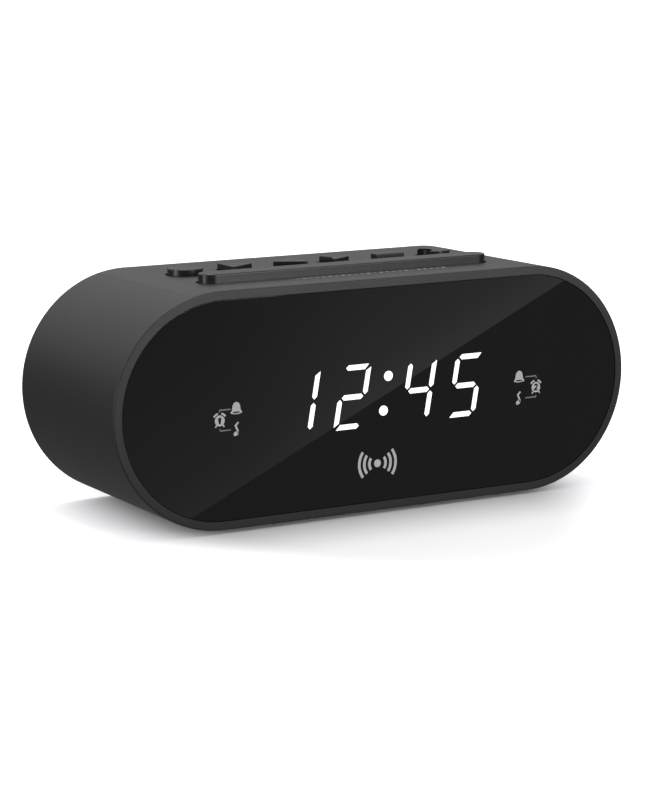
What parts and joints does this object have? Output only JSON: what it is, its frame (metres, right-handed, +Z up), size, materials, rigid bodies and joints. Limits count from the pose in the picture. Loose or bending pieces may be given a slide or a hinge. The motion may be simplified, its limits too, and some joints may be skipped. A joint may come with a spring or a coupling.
{
  "type": "clock radio",
  "caption": "Bedside clock radio: stadium-shaped case, gloss display window with lit clock digits, a long snooze bar, shaped keys on top and a speaker behind.",
  "frame": {"origin": "on the resting surface, under the middle of the case", "axes": "+Z up, -Y towards the person reading the display, +X to that person's right along the case's length"},
  "size_m": [0.156, 0.0584, 0.0654],
  "materials": {
    "case_plastic": "fine spark-eroded matte",
    "top_plastic": "fine spark-eroded matte",
    "key_plastic": "satin",
    "lens_black": "polished",
    "display_white": "translucent, lit from behind",
    "print_grey": "screen print",
    "black_sheet": "matte",
    "light_box_white": "satin",
    "circuit_board": "solder mask",
    "chip_black": "moulded",
    "ribbon_grey": "satin",
    "steel": "zinc plated",
    "iron": "matte",
    "coil_tape": "satin",
    "cone_paper": "fibrous",
    "foam": "matte",
    "wire_red": "satin",
    "cell_jacket": "gloss",
    "nickel": "bright plated",
    "rubber": "matte"
  },
  "bodies": {
    "case": {"case_shell": "case_plastic", "top_panel": "top_plastic", "rear_cover": "case_plastic", "front_lens": "lens_black", "display_mask": "black_sheet", "segment_diffuser": "display_white", "light_box": "light_box_white", "display_board": "circuit_board", "display_driver_chip": "chip_black", "display_ribbon": "ribbon_grey", "main_board": "circuit_board", "control_chip": "chip_black", "tuner_can": "steel", "transformer_core": "iron", "transformer_coil": "coil_tape", "smoothing_capacitor": "chip_black", "speaker_frame": "steel", "speaker_cone": "cone_paper", "speaker_magnet": "iron", "speaker_gasket": "foam", "speaker_wires": "wire_red", "battery_tray": "case_plastic", "battery_cell_front": "cell_jacket", "battery_cell_rear": "cell_jacket", "battery_contact_front": "nickel", "battery_contact_rear": "nickel", "battery_link_contact": "nickel", "cable_gland": "rubber", "aerial_gland": "rubber", "key_board": "circuit_board", "key_ribbon": "ribbon_grey", "snooze_switch": "chip_black", "round_switch": "chip_black", "right_arrow_switch": "chip_black", "left_arrow_switch": "chip_black", "notched_arrow_switch": "chip_black", "bar_switch": "chip_black", "crescent_switch": "chip_black", "key_board_screw_1": "steel", "key_board_screw_2": "steel", "display_board_screw_left": "steel", "display_board_screw_right": "steel", "main_board_screw_left": "steel", "main_board_screw_right": "steel", "rear_screw_1": "steel", "rear_screw_2": "steel", "rear_screw_3": "steel", "rear_screw_4": "steel", "foot_1": "rubber", "foot_2": "rubber", "foot_3": "rubber", "foot_4": "rubber"},
    "snooze": {"snooze_bar": "key_plastic"},
    "round_key": {"round_button": "key_plastic"},
    "right_arrow_key": {"right_arrow_button": "key_plastic"},
    "left_arrow_key": {"left_arrow_button": "key_plastic"},
    "notched_arrow_key": {"notched_arrow_button": "key_plastic"},
    "bar_key": {"bar_button": "key_plastic"},
    "crescent_key": {"crescent_button": "key_plastic"},
    "door": {"battery_door": "case_plastic"}
  },
  "joints": [
    {"name": "snooze_press", "type": "slide", "parent": "case", "child": "snooze", "axis": [0, 0, -1], "range_m": [0, 0.001], "stiffness_N_per_m": 1200},
    {"name": "round_press", "type": "slide", "parent": "case", "child": "round_key", "axis": [0, 0, -1], "range_m": [0, 0.0008], "stiffness_N_per_m": 1500},
    {"name": "right_arrow_press", "type": "slide", "parent": "case", "child": "right_arrow_key", "axis": [0, 0, -1], "range_m": [0, 0.0008], "stiffness_N_per_m": 1500},
    {"name": "left_arrow_press", "type": "slide", "parent": "case", "child": "left_arrow_key", "axis": [0, 0, -1], "range_m": [0, 0.0008], "stiffness_N_per_m": 1500},
    {"name": "notched_arrow_press", "type": "slide", "parent": "case", "child": "notched_arrow_key", "axis": [0, 0, -1], "range_m": [0, 0.0008], "stiffness_N_per_m": 1500},
    {"name": "bar_press", "type": "slide", "parent": "case", "child": "bar_key", "axis": [0, 0, -1], "range_m": [0, 0.0008], "stiffness_N_per_m": 1500},
    {"name": "crescent_press", "type": "slide", "parent": "case", "child": "crescent_key", "axis": [0, 0, -1], "range_m": [0, 0.0008], "stiffness_N_per_m": 1500},
    {"name": "door_slide", "type": "slide", "parent": "case", "child": "door", "axis": [0, 1, 0], "range_m": [0, 0.028]}
  ]
}
